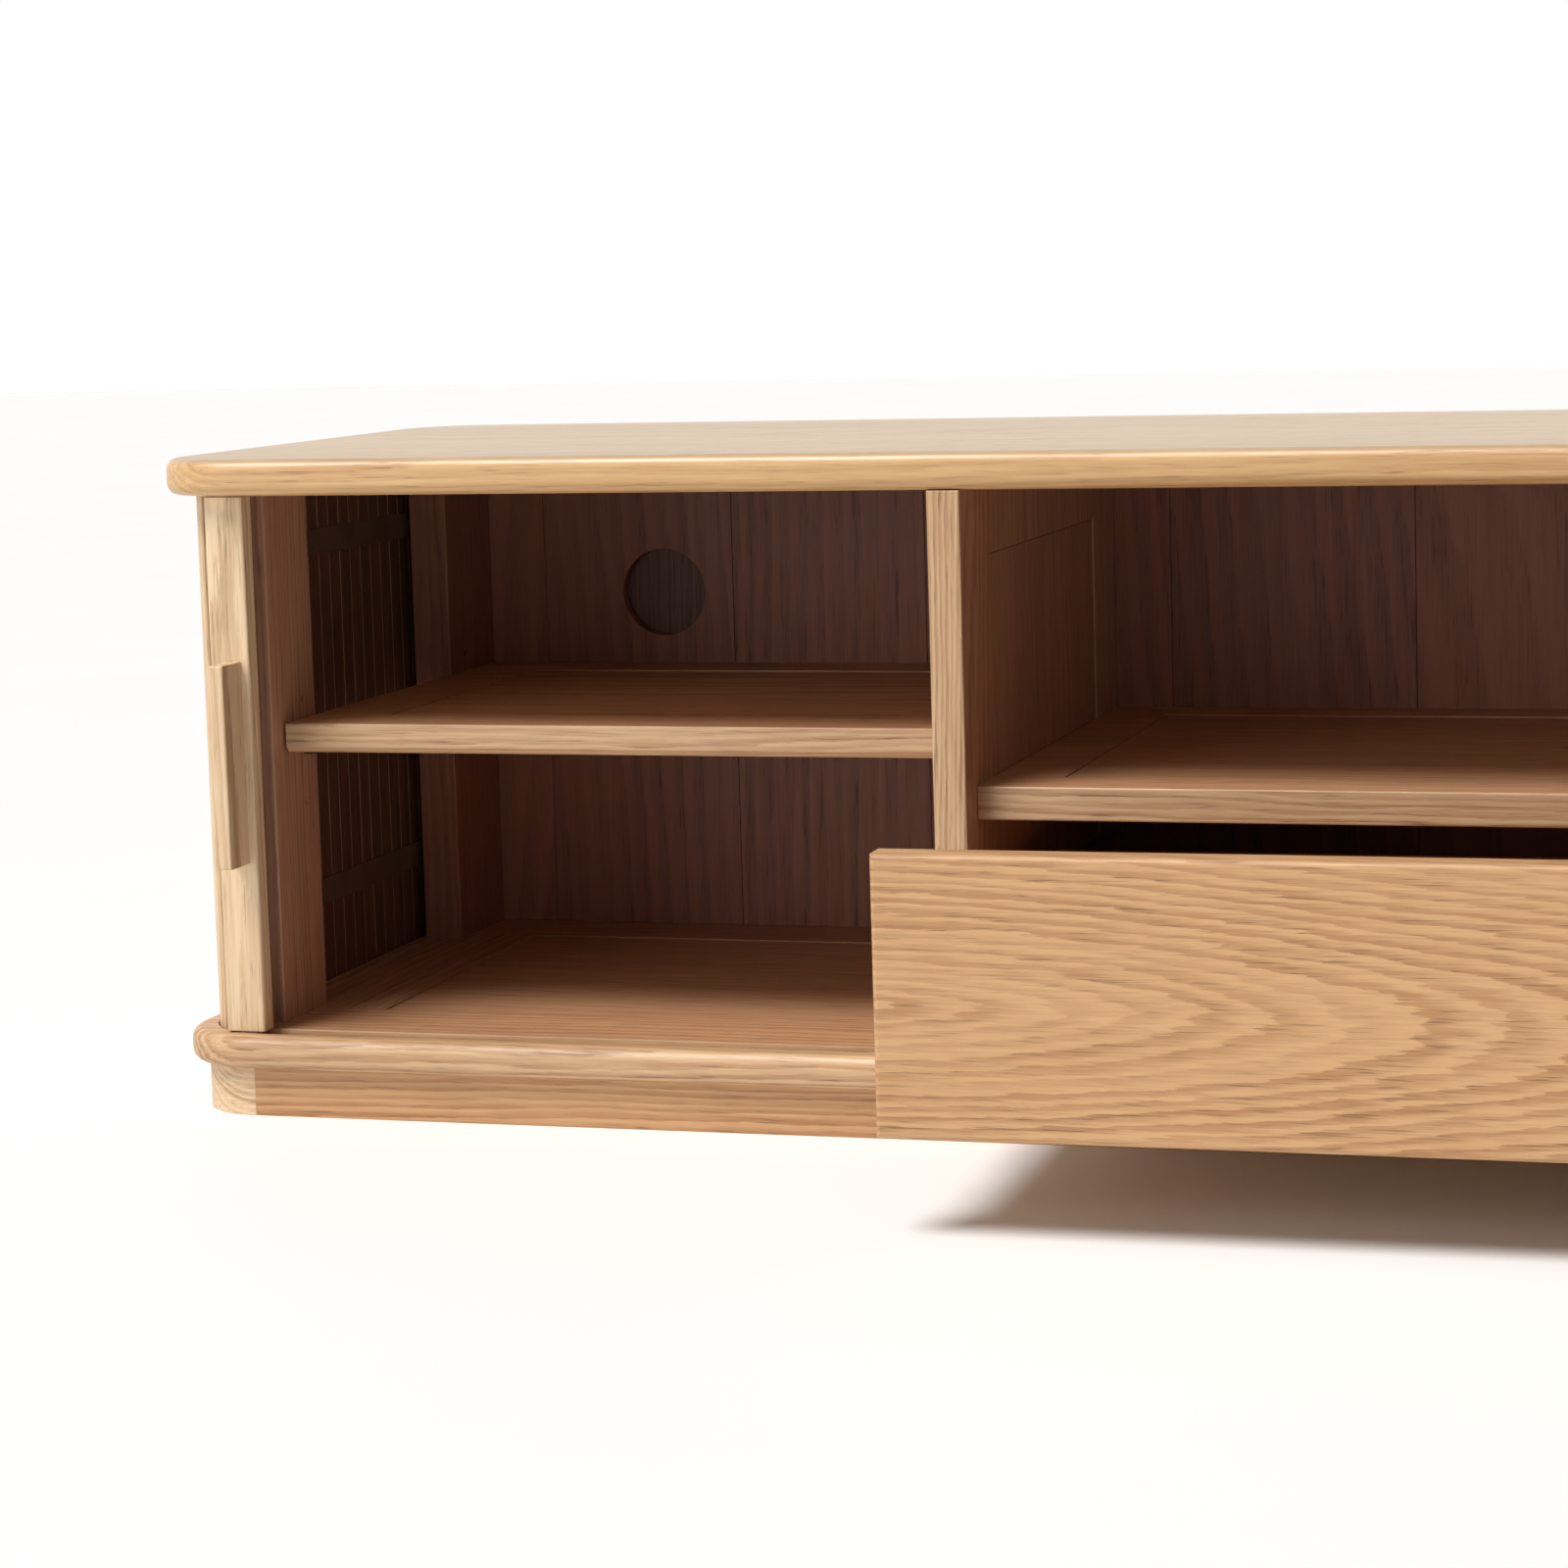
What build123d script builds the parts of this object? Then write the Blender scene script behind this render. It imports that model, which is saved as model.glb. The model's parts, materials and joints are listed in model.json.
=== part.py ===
from build123d import *
import math
import os

# A low media cabinet in oak. A curtain door of glued slats closes each end compartment, and a wide drawer
# runs under a fixed shelf between two dividers.
# Millimetres. X runs along the cabinet to the right, Y to the back and Z up. The origin is at the middle of
# the underside of the plinth. It is modelled with the left curtain open, the right curtain closed and the
# drawer pulled out by DRAWER_OUT.

# Overall size
LENGTH = 2000.0
DEPTH = 450.0
HEIGHT = 400.0
CORNER_RADIUS = 52.0

# Heights
PLINTH_TOP = 30.0
FLOOR_TOP = 50.0
TOP_THICKNESS = 22.0
TOP_UNDERSIDE = HEIGHT - TOP_THICKNESS
BOARD_EDGE_RADIUS = 7.0
EASED = 1.0

# Curtain track: a groove in the top and bottom boards, round both ends
TRACK_INSET = 21.0
TRACK_RADIUS = 38.0
GROOVE_WIDTH = 15.0
GROOVE_DEPTH = 8.0
TRACK_X = LENGTH / 2 - TRACK_INSET
TRACK_Y = DEPTH / 2 - TRACK_INSET
GROOVE_END_X = 512.0

# Curtains
SLAT_THICKNESS = 12.0
SLAT_CHAMFER = 1.8
SLAT_GAP = 0.9
CANVAS_THICKNESS = 0.8
CANVAS_BAND_HEIGHT = 17.0
CANVAS_BAND_HEIGHTS = (100.0, 328.0)
LEAD_WIDTH = 25.0
LEAD_THICKNESS = 13.0
LEAD_EDGE_RADIUS = 1.5
LEAD_BODY_GAP = 1.0
LEAD_OPEN_X = 964.0
CURTAIN_TRAVEL = 427.0
RUN_SLATS = 26
SIDE_SLATS = 25
CURTAIN_START = 23.7
RUN_LENGTH = CURTAIN_TRAVEL - 0.5
SLAT_PITCH = RUN_LENGTH / RUN_SLATS
SLAT_BOTTOM = FLOOR_TOP - GROOVE_DEPTH + 1.0
SLAT_TOP = TOP_UNDERSIDE + GROOVE_DEPTH - 1.0
HANDLE_LENGTH = 123.0
HANDLE_WIDTH = 9.5
HANDLE_PROJECTION = 25.0
HANDLE_MIDDLE_Z = 216.0
HANDLE_OFFSET = 2.5
HANDLE_SCREW_OFFSET = 43.0
HANDLE_SCREW_LENGTH = 26.0
GLIDE_LENGTH = 12.0
GLIDE_WIDTH = 6.0

# The plane of the canvas, which every slat is glued to
CANVAS_X = TRACK_X - SLAT_THICKNESS / 2
CANVAS_Y = TRACK_Y - SLAT_THICKNESS / 2
CANVAS_RADIUS = TRACK_RADIUS - SLAT_THICKNESS / 2
TANGENT_X = TRACK_X - TRACK_RADIUS
TANGENT_Y = TRACK_Y - TRACK_RADIUS

# Posts and dividers
POST_INNER_X = 940.0
POST_OUTER_X = 966.0
FRONT_POST_Y = (-179.0, -117.0)
REAR_POST_Y = (107.0, 194.0)
FRONT_POST_RADIUS = 6.0
REAR_POST_RADIUS = 24.0
DIVIDER_INNER_X = 491.0
DIVIDER_OUTER_X = 510.5
DIVIDER_FRONT_Y = -223.0
DIVIDER_FRONT_STILE = 66.0
DIVIDER_REAR_STILE = 71.0
DIVIDER_RAIL = 41.0

# Back panels
BACK_INNER_Y = 186.0
BACK_THICKNESS = 8.0
BACK_OUTER_Y = BACK_INNER_Y + BACK_THICKNESS
BOARD_JOINT = 0.4
SIDE_BACK_JOINTS_X = (623.0, 761.0, 899.0)
CENTRE_BACK_FIRST_JOINT_X = -452.5
CENTRE_BACK_BOARD_WIDTH = 164.5
CENTRE_BACK_JOINTS = 6
CABLE_HOLE_X = 811.5
CABLE_HOLE_Z = 283.5
CABLE_HOLE_RADIUS = 30.0

# Frame and panel work: the panel lies a little below its frame and is held by a tongue
PANEL_STEP = 0.8
PANEL_REVEAL = 0.6
TONGUE_LENGTH = 6.0
TONGUE_THICKNESS = 7.0

# Bottom board members
BOTTOM_RAIL_Y = 131.0
END_MEMBER_X = 894.5
CROSS_MEMBER_X = (456.0, 546.0)

# Plinth
PLINTH_INSET = 10.0
PLINTH_THICKNESS = 20.0
PLINTH_RADIUS = 42.0
PLINTH_BLOCK_X = 945.0
PLINTH_BLOCK_Y = 160.0
BRACE_WIDTH = 24.0
BRACE_X = (-501.0, 0.0, 501.0)
BRACE_SCREW_Y = 120.0
PLINTH_SCREW_Z = 10.0
PLINTH_SCREW_LENGTH = 32.0

# Fixed centre shelf
CENTRE_SHELF_TOP = 205.5
CENTRE_SHELF_THICKNESS = 19.5
CENTRE_SHELF_FRONT_Y = -199.0
CENTRE_SHELF_MEMBER = 42.0

# Adjustable shelves and their pins
PIN_RADIUS = 2.5
PIN_MIDDLE_Z = 214.0
PIN_SPACING = 32.0
PIN_Y = 134.0
PIN_DEPTH = 8.0
PIN_OUT = 7.0
SHELF_BOTTOM = PIN_MIDDLE_Z + PIN_RADIUS
SHELF_THICKNESS = 18.0
SHELF_END_GAP = 2.0
SHELF_FRONT_Y = -165.0
SHELF_BACK_Y = 184.0
SHELF_MEMBER = 48.0
SHELF_CHAMFER = 3.5

# Drawer, with its sizes as when it is shut
DRAWER_OUT = 211.0
DRAWER_FRONT_X = 489.0
DRAWER_FRONT_Y = -223.0
DRAWER_FRONT_THICKNESS = 20.0
DRAWER_FRONT_BOTTOM = 54.0
DRAWER_FRONT_TOP = 203.5
DRAWER_FRONT_RADIUS = 3.0
DRAWER_BOX_X = 478.0
DRAWER_BOX_BOTTOM = 64.0
DRAWER_BOX_TOP = 146.0
DRAWER_WALL = 12.0
DRAWER_BOX_DEPTH = 360.0
DRAWER_BOTTOM_THICKNESS = 6.0
DRAWER_BOTTOM_LIFT = 8.0
DRAWER_BOTTOM_TONGUE = 5.0
DRAWER_SCREW_X = 300.0
DRAWER_SCREW_Z = (90.0, 135.0)
PULL_LENGTH = 180.0
PULL_WIDTH = 12.0
PULL_PROJECTION = 22.0
PULL_SCREW_X = 64.0
PULL_Z = 125.0
BOX_SCREW_LENGTH = 26.0
PULL_SCREW_LENGTH = 46.0

# Telescopic runners: three nested channels on each side
RUNNER_LENGTH = 350.0
RUNNER_Z = 105.0
RUNNER_SHEET = 1.5
RUNNER_FRONT_Y = -199.0
CABINET_MEMBER = (481.0, 491.0, 22.5)
MIDDLE_MEMBER = (480.5, 488.0, 20.2)
DRAWER_MEMBER = (478.0, 485.5, 17.9)

# Fasteners
SCREW_RADIUS = 2.0
SCREW_HEAD_RADIUS = 4.0
SCREW_HEAD_HEIGHT = 2.5
DOWEL_RADIUS = 4.0
DOWEL_REACH = 12.0
POST_DOWEL_X = 953.0
POST_DOWEL_Y = (-148.0, 150.0)
DIVIDER_DOWEL_X = 500.75
DIVIDER_DOWEL_Y = (-185.0, 160.0)


def block(x0, x1, y0, y1, z0, z1):
    """A box between two corners."""
    middle = Pos((x0 + x1) / 2, (y0 + y1) / 2, (z0 + z1) / 2)
    return middle * Box(abs(x1 - x0), abs(y1 - y0), abs(z1 - z0))


def rounded_slab(half_x, half_y, radius, z0, z1):
    """A board centred on the origin with rounded corners in plan."""
    outline = RectangleRounded(2 * half_x, 2 * half_y, radius)
    return extrude(Pos(0, 0, z0) * outline, amount=z1 - z0)


def rod(x, y, z, radius, length, direction):
    """A cylinder from a point along a direction, given as "x", "y" or "z" with its sign in length."""
    turn = {"x": (0, 90, 0), "y": (-90, 0, 0), "z": (0, 0, 0)}[direction]
    middle = {"x": (length / 2, 0, 0), "y": (0, length / 2, 0), "z": (0, 0, length / 2)}[direction]
    place = Location((x + middle[0], y + middle[1], z + middle[2]), turn)
    return place * Cylinder(radius, abs(length))


def screw(x, y, z, length, direction):
    """A countersunk screw with its head's face at the point given."""
    sign = math.copysign(1, length)
    head = rod(x, y, z, SCREW_HEAD_RADIUS, sign * SCREW_HEAD_HEIGHT, direction)
    return head + rod(x, y, z, SCREW_RADIUS, length, direction)


def mirrored(shape):
    """The same shape at the other end of the cabinet."""
    return mirror(shape, about=Plane.YZ)


def drilled(shape, pegs):
    """A shape with holes that pegs fill exactly."""
    for peg in pegs:
        shape = shape - peg
    return shape


def frame_and_panel(lo, hi, opening_lo, opening_hi, normal):
    """A frame round one opening and its panel. normal is the axis that the opening runs along."""
    middle = (lo[normal] + hi[normal]) / 2
    through_lo = [opening_lo[i] if i != normal else lo[i] for i in range(3)]
    through_hi = [opening_hi[i] if i != normal else hi[i] for i in range(3)]
    half = TONGUE_THICKNESS / 2
    tongue_lo = [opening_lo[i] - TONGUE_LENGTH if i != normal else middle - half for i in range(3)]
    tongue_hi = [opening_hi[i] + TONGUE_LENGTH if i != normal else middle + half for i in range(3)]
    face_lo = [opening_lo[i] + PANEL_REVEAL if i != normal else lo[i] + PANEL_STEP for i in range(3)]
    face_hi = [opening_hi[i] - PANEL_REVEAL if i != normal else hi[i] - PANEL_STEP for i in range(3)]
    tongue = block_between(tongue_lo, tongue_hi)
    frame = block_between(lo, hi) - block_between(through_lo, through_hi) - tongue
    panel = block_between(face_lo, face_hi) + tongue
    return frame, panel


def block_between(lo, hi):
    """A box between two corner points."""
    return block(lo[0], hi[0], lo[1], hi[1], lo[2], hi[2])


def track_point(distance):
    """Place and heading on the left curtain's canvas, from the front tangent point round the left end."""
    arc = CANVAS_RADIUS * math.pi / 2
    side = 2 * TANGENT_Y
    if distance < 0:
        return -TANGENT_X - distance, -CANVAS_Y, 180.0
    if distance < arc:
        heading = 180.0 - math.degrees(distance / CANVAS_RADIUS)
        return arc_point(-TANGENT_Y, heading)
    if distance < arc + side:
        return -CANVAS_X, distance - arc - TANGENT_Y, 90.0
    if distance < 2 * arc + side:
        heading = 90.0 - math.degrees((distance - arc - side) / CANVAS_RADIUS)
        return arc_point(TANGENT_Y, heading)
    return -TANGENT_X + distance - 2 * arc - side, CANVAS_Y, 0.0


def arc_point(centre_y, heading):
    """Place on a corner of the canvas where it has this heading."""
    turn = math.radians(heading)
    return -TANGENT_X - CANVAS_RADIUS * math.sin(turn), centre_y + CANVAS_RADIUS * math.cos(turn), heading


def slat(distance):
    """One slat of the left curtain, with its middle at this distance along the canvas."""
    half = (SLAT_PITCH - SLAT_GAP) / 2
    outline = Polygon(
        (-half, 0),
        (half, 0),
        (half, SLAT_THICKNESS - SLAT_CHAMFER),
        (half - SLAT_CHAMFER, SLAT_THICKNESS),
        (SLAT_CHAMFER - half, SLAT_THICKNESS),
        (-half, SLAT_THICKNESS - SLAT_CHAMFER),
        align=None,
    )
    x, y, heading = track_point(distance)
    return Location((x, y, SLAT_BOTTOM), (0, 0, heading)) * extrude(outline, amount=SLAT_TOP - SLAT_BOTTOM)


def slats(first, count):
    """Consecutive slats of the left curtain. Slat 0 is the one next to the open door's leading slat."""
    return [slat(CURTAIN_START + (first + index + 0.5) * SLAT_PITCH) for index in range(count)]


def canvas_ring():
    """The canvas bands all round, as if they ran round the whole cabinet."""
    inner_x = CANVAS_X - CANVAS_THICKNESS
    inner_y = CANVAS_Y - CANVAS_THICKNESS
    inner_radius = CANVAS_RADIUS - CANVAS_THICKNESS
    bands = []
    for bottom in CANVAS_BAND_HEIGHTS:
        top = bottom + CANVAS_BAND_HEIGHT
        outer = rounded_slab(CANVAS_X, CANVAS_Y, CANVAS_RADIUS, bottom, top)
        bands.append(outer - rounded_slab(inner_x, inner_y, inner_radius, bottom, top))
    return bands


def side_canvas():
    """The part of the canvas that is always round the left end."""
    region = block(-LENGTH / 2, -TANGENT_X - CURTAIN_START, -DEPTH / 2, DEPTH / 2, 0, HEIGHT)
    return [band & region for band in canvas_ring()]


def run_canvas(y_sign):
    """The straight canvas behind one run of slats of the left curtain, at the front or the back."""
    y0 = y_sign * (CANVAS_Y - CANVAS_THICKNESS)
    y1 = y_sign * CANVAS_Y
    end = RUN_LENGTH - TANGENT_X - CURTAIN_START
    tops = [bottom + CANVAS_BAND_HEIGHT for bottom in CANVAS_BAND_HEIGHTS]
    return [block(-TANGENT_X, end, y0, y1, bottom, top) for bottom, top in zip(CANVAS_BAND_HEIGHTS, tops)]


def groove(z0, z1):
    """The groove that both curtains run in, cut between two heights."""
    half = GROOVE_WIDTH / 2
    outer = rounded_slab(TRACK_X + half, TRACK_Y + half, TRACK_RADIUS + half, z0, z1)
    inner = rounded_slab(TRACK_X - half, TRACK_Y - half, TRACK_RADIUS - half, z0, z1)
    middle = block(-GROOVE_END_X, GROOVE_END_X, -DEPTH, DEPTH, z0, z1)
    return outer - inner - middle


def eased_board(z0, z1):
    """A board of the cabinet's full plan with both long edges rounded."""
    board = rounded_slab(LENGTH / 2, DEPTH / 2, CORNER_RADIUS, z0, z1)
    edges = board.faces().sort_by(Axis.Z)[-1].edges() + board.faces().sort_by(Axis.Z)[0].edges()
    return fillet(edges, BOARD_EDGE_RADIUS)


def front_eased(board, radius):
    """A board with the long edges of its front face rounded."""
    return fillet(board.faces().sort_by(Axis.Y)[0].edges(), radius)


def post(front):
    """A corner post of the left end. Its outer corner is rounded to follow the curtain."""
    y0, y1 = FRONT_POST_Y if front else REAR_POST_Y
    blank = block(-POST_OUTER_X, -POST_INNER_X, y0, y1, FLOOR_TOP, TOP_UNDERSIDE)
    edges = blank.edges().filter_by(Axis.Z).sort_by(Axis.X)
    outer = edges[0:2].sort_by(Axis.Y)[0 if front else -1]
    blank = fillet(outer, FRONT_POST_RADIUS if front else REAR_POST_RADIUS)
    inner = blank.edges().filter_by(Axis.Z).sort_by(Axis.X)[-2:]
    return fillet(inner, EASED)


def dowels():
    """Dowels that hold the posts and dividers to the top and bottom boards."""
    places = []
    for side in (-1, 1):
        places += [(side * POST_DOWEL_X, y) for y in POST_DOWEL_Y]
        places += [(side * DIVIDER_DOWEL_X, y) for y in DIVIDER_DOWEL_Y]
    pegs = []
    for x, y in places:
        pegs.append(rod(x, y, FLOOR_TOP - DOWEL_REACH, DOWEL_RADIUS, 2 * DOWEL_REACH, "z"))
        pegs.append(rod(x, y, TOP_UNDERSIDE - DOWEL_REACH, DOWEL_RADIUS, 2 * DOWEL_REACH, "z"))
    return pegs


def plinth_screws():
    """Screws up through the plinth braces into the bottom board."""
    places = [(x, y) for x in BRACE_X for y in (-BRACE_SCREW_Y, BRACE_SCREW_Y)]
    return [screw(x, y, PLINTH_SCREW_Z, PLINTH_SCREW_LENGTH, "z") for x, y in places]


def screw_wells():
    """The wide holes below the plinth screws' heads."""
    places = [(x, y) for x in BRACE_X for y in (-BRACE_SCREW_Y, BRACE_SCREW_Y)]
    return [rod(x, y, 0.0, SCREW_HEAD_RADIUS, PLINTH_SCREW_Z, "z") for x, y in places]


def shelf_pins():
    """The four pins under the left shelf."""
    pins = []
    for wall_x, side in ((-POST_INNER_X, 1), (-DIVIDER_OUTER_X, -1)):
        for y in (-PIN_Y, PIN_Y):
            start = wall_x - side * PIN_DEPTH
            pins.append(rod(start, y, PIN_MIDDLE_Z, PIN_RADIUS, side * (PIN_DEPTH + PIN_OUT), "x"))
    return pins


def pin_holes():
    """All the pin holes of the left compartment: three heights at each corner."""
    holes = []
    for z in (PIN_MIDDLE_Z - PIN_SPACING, PIN_MIDDLE_Z, PIN_MIDDLE_Z + PIN_SPACING):
        for y in (-PIN_Y, PIN_Y):
            holes.append(rod(-POST_INNER_X - PIN_DEPTH, y, z, PIN_RADIUS, PIN_DEPTH, "x"))
            holes.append(rod(-DIVIDER_OUTER_X + PIN_DEPTH, y, z, PIN_RADIUS, -PIN_DEPTH, "x"))
    return holes


def boards(edges_x, hole):
    """Vertical back boards between neighbouring edges, with an optional cable hole."""
    made = []
    for left, right in zip(edges_x, edges_x[1:]):
        x0 = left + BOARD_JOINT / 2
        x1 = right - BOARD_JOINT / 2
        board = block(x0, x1, BACK_INNER_Y, BACK_OUTER_Y, FLOOR_TOP, TOP_UNDERSIDE)
        if hole:
            board = board - hole
        made.append(board)
    return made


def channel(member, side):
    """One runner channel, open towards the drawer or the divider, on the right when side is 1."""
    near, far, half = member
    y0 = RUNNER_FRONT_Y
    y1 = RUNNER_FRONT_Y + RUNNER_LENGTH
    solid = block(side * near, side * far, y0, y1, RUNNER_Z - half, RUNNER_Z + half)
    web_at_divider = member is not DRAWER_MEMBER
    hollow_near = near - RUNNER_SHEET if web_at_divider else near + RUNNER_SHEET
    hollow_far = far - RUNNER_SHEET if web_at_divider else far + RUNNER_SHEET
    z0 = RUNNER_Z - half + RUNNER_SHEET
    z1 = RUNNER_Z + half - RUNNER_SHEET
    return solid - block(side * hollow_near, side * hollow_far, y0 - 1, y1 + 1, z0, z1)


def runners(member, out):
    """The pair of channels of one kind, moved out with the drawer."""
    return [Pos(0, -out, 0) * channel(member, side) for side in (-1, 1)]


def handle_screws(x):
    """Two screws through the leading slat into its handle."""
    back_y = -TRACK_Y + LEAD_THICKNESS / 2
    heights = (HANDLE_MIDDLE_Z - HANDLE_SCREW_OFFSET, HANDLE_MIDDLE_Z + HANDLE_SCREW_OFFSET)
    return [screw(x, back_y, z, -HANDLE_SCREW_LENGTH, "y") for z in heights]


def leading_slat(name, middle_x, handle_x):
    """The parts that slide with one curtain's leading slat. Only its glides run in the grooves."""
    half = LEAD_WIDTH / 2
    front_y = -TRACK_Y - LEAD_THICKNESS / 2
    back_y = -TRACK_Y + LEAD_THICKNESS / 2
    z0 = FLOOR_TOP + LEAD_BODY_GAP
    z1 = TOP_UNDERSIDE - LEAD_BODY_GAP
    body = block(middle_x - half, middle_x + half, front_y, back_y, z0, z1)
    body = fillet(body.edges().filter_by(Axis.Z), LEAD_EDGE_RADIUS)
    bar_x0 = handle_x - HANDLE_WIDTH / 2
    bar_x1 = handle_x + HANDLE_WIDTH / 2
    bar_z0 = HANDLE_MIDDLE_Z - HANDLE_LENGTH / 2
    bar = block(bar_x0, bar_x1, front_y - HANDLE_PROJECTION, front_y, bar_z0, bar_z0 + HANDLE_LENGTH)
    bar = front_eased(bar, EASED)
    fixings = handle_screws(handle_x)
    x0 = middle_x - GLIDE_LENGTH / 2
    x1 = middle_x + GLIDE_LENGTH / 2
    y0 = -TRACK_Y - GLIDE_WIDTH / 2
    y1 = -TRACK_Y + GLIDE_WIDTH / 2
    glides = [block(x0, x1, y0, y1, SLAT_BOTTOM, z0), block(x0, x1, y0, y1, z1, SLAT_TOP)]
    return {
        name + "_leading_slat": [drilled(body, fixings)],
        name + "_door_handle": [drilled(bar, fixings)],
        name + "_handle_screws": fixings,
        name + "_door_glides": glides,
    }


def bottom_board(pegs):
    """The bottom board: rails, end and cross members, and three panels."""
    whole = eased_board(PLINTH_TOP, FLOOR_TOP) - groove(FLOOR_TOP - GROOVE_DEPTH, FLOOR_TOP)
    inner, outer = CROSS_MEMBER_X
    openings = {"left": (-END_MEMBER_X, -outer), "centre": (-inner, inner), "right": (outer, END_MEMBER_X)}
    panels = {}
    for side, (x0, x1) in openings.items():
        lo = (x0 - 20.0, -BOTTOM_RAIL_Y - 20.0, PLINTH_TOP)
        hi = (x1 + 20.0, BOTTOM_RAIL_Y + 20.0, FLOOR_TOP)
        _, panel = frame_and_panel(lo, hi, (x0, -BOTTOM_RAIL_Y, 0), (x1, BOTTOM_RAIL_Y, 0), 2)
        whole = whole - block(x0, x1, -BOTTOM_RAIL_Y, BOTTOM_RAIL_Y, PLINTH_TOP, FLOOR_TOP) - panel
        panels[side + "_bottom_panel"] = [drilled(panel, pegs)]
    whole = drilled(whole, pegs)
    far = LENGTH
    members = {
        "bottom_front_rail": [whole & block(-far, far, -DEPTH, -BOTTOM_RAIL_Y, 0, HEIGHT)],
        "bottom_rear_rail": [whole & block(-far, far, BOTTOM_RAIL_Y, DEPTH, 0, HEIGHT)],
        "bottom_end_members": [],
        "bottom_cross_members": [],
    }
    for side in (-1, 1):
        end = block(side * END_MEMBER_X, side * far, -BOTTOM_RAIL_Y, BOTTOM_RAIL_Y, 0, HEIGHT)
        cross = block(side * inner, side * outer, -BOTTOM_RAIL_Y, BOTTOM_RAIL_Y, 0, HEIGHT)
        members["bottom_end_members"].append(whole & end)
        members["bottom_cross_members"].append(whole & cross)
    return {**members, **panels}


def plinth(pegs):
    """The plinth: rounded corner blocks, rails between them and braces across."""
    half_x = LENGTH / 2 - PLINTH_INSET
    half_y = DEPTH / 2 - PLINTH_INSET
    inner_radius = PLINTH_RADIUS - PLINTH_THICKNESS
    inner_x = half_x - PLINTH_THICKNESS
    inner_y = half_y - PLINTH_THICKNESS
    outer = rounded_slab(half_x, half_y, PLINTH_RADIUS, 0, PLINTH_TOP)
    ring = outer - rounded_slab(inner_x, inner_y, inner_radius, 0, PLINTH_TOP)
    blocks = []
    ends = []
    for side in (-1, 1):
        x0 = side * PLINTH_BLOCK_X
        x1 = side * LENGTH
        blocks += [ring & block(x0, x1, y * PLINTH_BLOCK_Y, y * DEPTH, 0, HEIGHT) for y in (-1, 1)]
        ends.append(ring & block(x0, x1, -PLINTH_BLOCK_Y, PLINTH_BLOCK_Y, 0, HEIGHT))
    rail_x = PLINTH_BLOCK_X
    half = BRACE_WIDTH / 2
    braces = [block(x - half, x + half, -inner_y, inner_y, 0, PLINTH_TOP) for x in BRACE_X]
    return {
        "plinth_corner_blocks": blocks,
        "plinth_end_rails": ends,
        "plinth_front_rail": [ring & block(-rail_x, rail_x, -DEPTH, 0, 0, HEIGHT)],
        "plinth_rear_rail": [ring & block(-rail_x, rail_x, 0, DEPTH, 0, HEIGHT)],
        "plinth_braces": [drilled(brace, pegs + screw_wells()) for brace in braces],
    }


def end_compartment(pegs):
    """The parts of the left compartment that the right one mirrors, by name without the side."""
    holes = pin_holes()
    lo = (-DIVIDER_OUTER_X, DIVIDER_FRONT_Y, FLOOR_TOP)
    hi = (-DIVIDER_INNER_X, BACK_OUTER_Y, TOP_UNDERSIDE)
    opening_lo = (0, DIVIDER_FRONT_Y + DIVIDER_FRONT_STILE, FLOOR_TOP + DIVIDER_RAIL)
    opening_hi = (0, BACK_OUTER_Y - DIVIDER_REAR_STILE, TOP_UNDERSIDE - DIVIDER_RAIL)
    frame, panel = frame_and_panel(lo, hi, opening_lo, opening_hi, 0)
    frame = front_eased(frame, EASED)
    shelf_lo = (-POST_INNER_X + SHELF_END_GAP, SHELF_FRONT_Y, SHELF_BOTTOM)
    shelf_hi = (-DIVIDER_OUTER_X - SHELF_END_GAP, SHELF_BACK_Y, SHELF_BOTTOM + SHELF_THICKNESS)
    inside_lo = (shelf_lo[0] + SHELF_MEMBER, shelf_lo[1] + SHELF_MEMBER, 0)
    inside_hi = (shelf_hi[0] - SHELF_MEMBER, shelf_hi[1] - SHELF_MEMBER, 0)
    shelf_frame, shelf_panel = frame_and_panel(shelf_lo, shelf_hi, inside_lo, inside_hi, 2)
    lower_edge = shelf_frame.faces().sort_by(Axis.Y)[0].edges().sort_by(Axis.Z)[0]
    shelf_frame = chamfer(lower_edge, SHELF_CHAMFER)
    upper_edge = shelf_frame.faces().sort_by(Axis.Y)[0].edges().sort_by(Axis.Z)[-1]
    shelf_frame = fillet(upper_edge, EASED)
    hole = rod(-CABLE_HOLE_X, BACK_INNER_Y - 1, CABLE_HOLE_Z, CABLE_HOLE_RADIUS, BACK_THICKNESS + 2, "y")
    back_edges = [-POST_INNER_X] + [-x for x in reversed(SIDE_BACK_JOINTS_X)] + [-DIVIDER_OUTER_X]
    return {
        "front_post": [drilled(post(True), pegs + holes)],
        "rear_post": [drilled(post(False), pegs + holes)],
        "divider_frame": [drilled(frame, pegs + holes)],
        "divider_panel": [drilled(panel, holes)],
        "back_panel": boards(back_edges, hole),
        "shelf_frame": [shelf_frame],
        "shelf_panel": [shelf_panel],
        "shelf_pins": shelf_pins(),
        "side_slats": slats(0, SIDE_SLATS),
        "canvas_bands": side_canvas(),
    }


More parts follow.
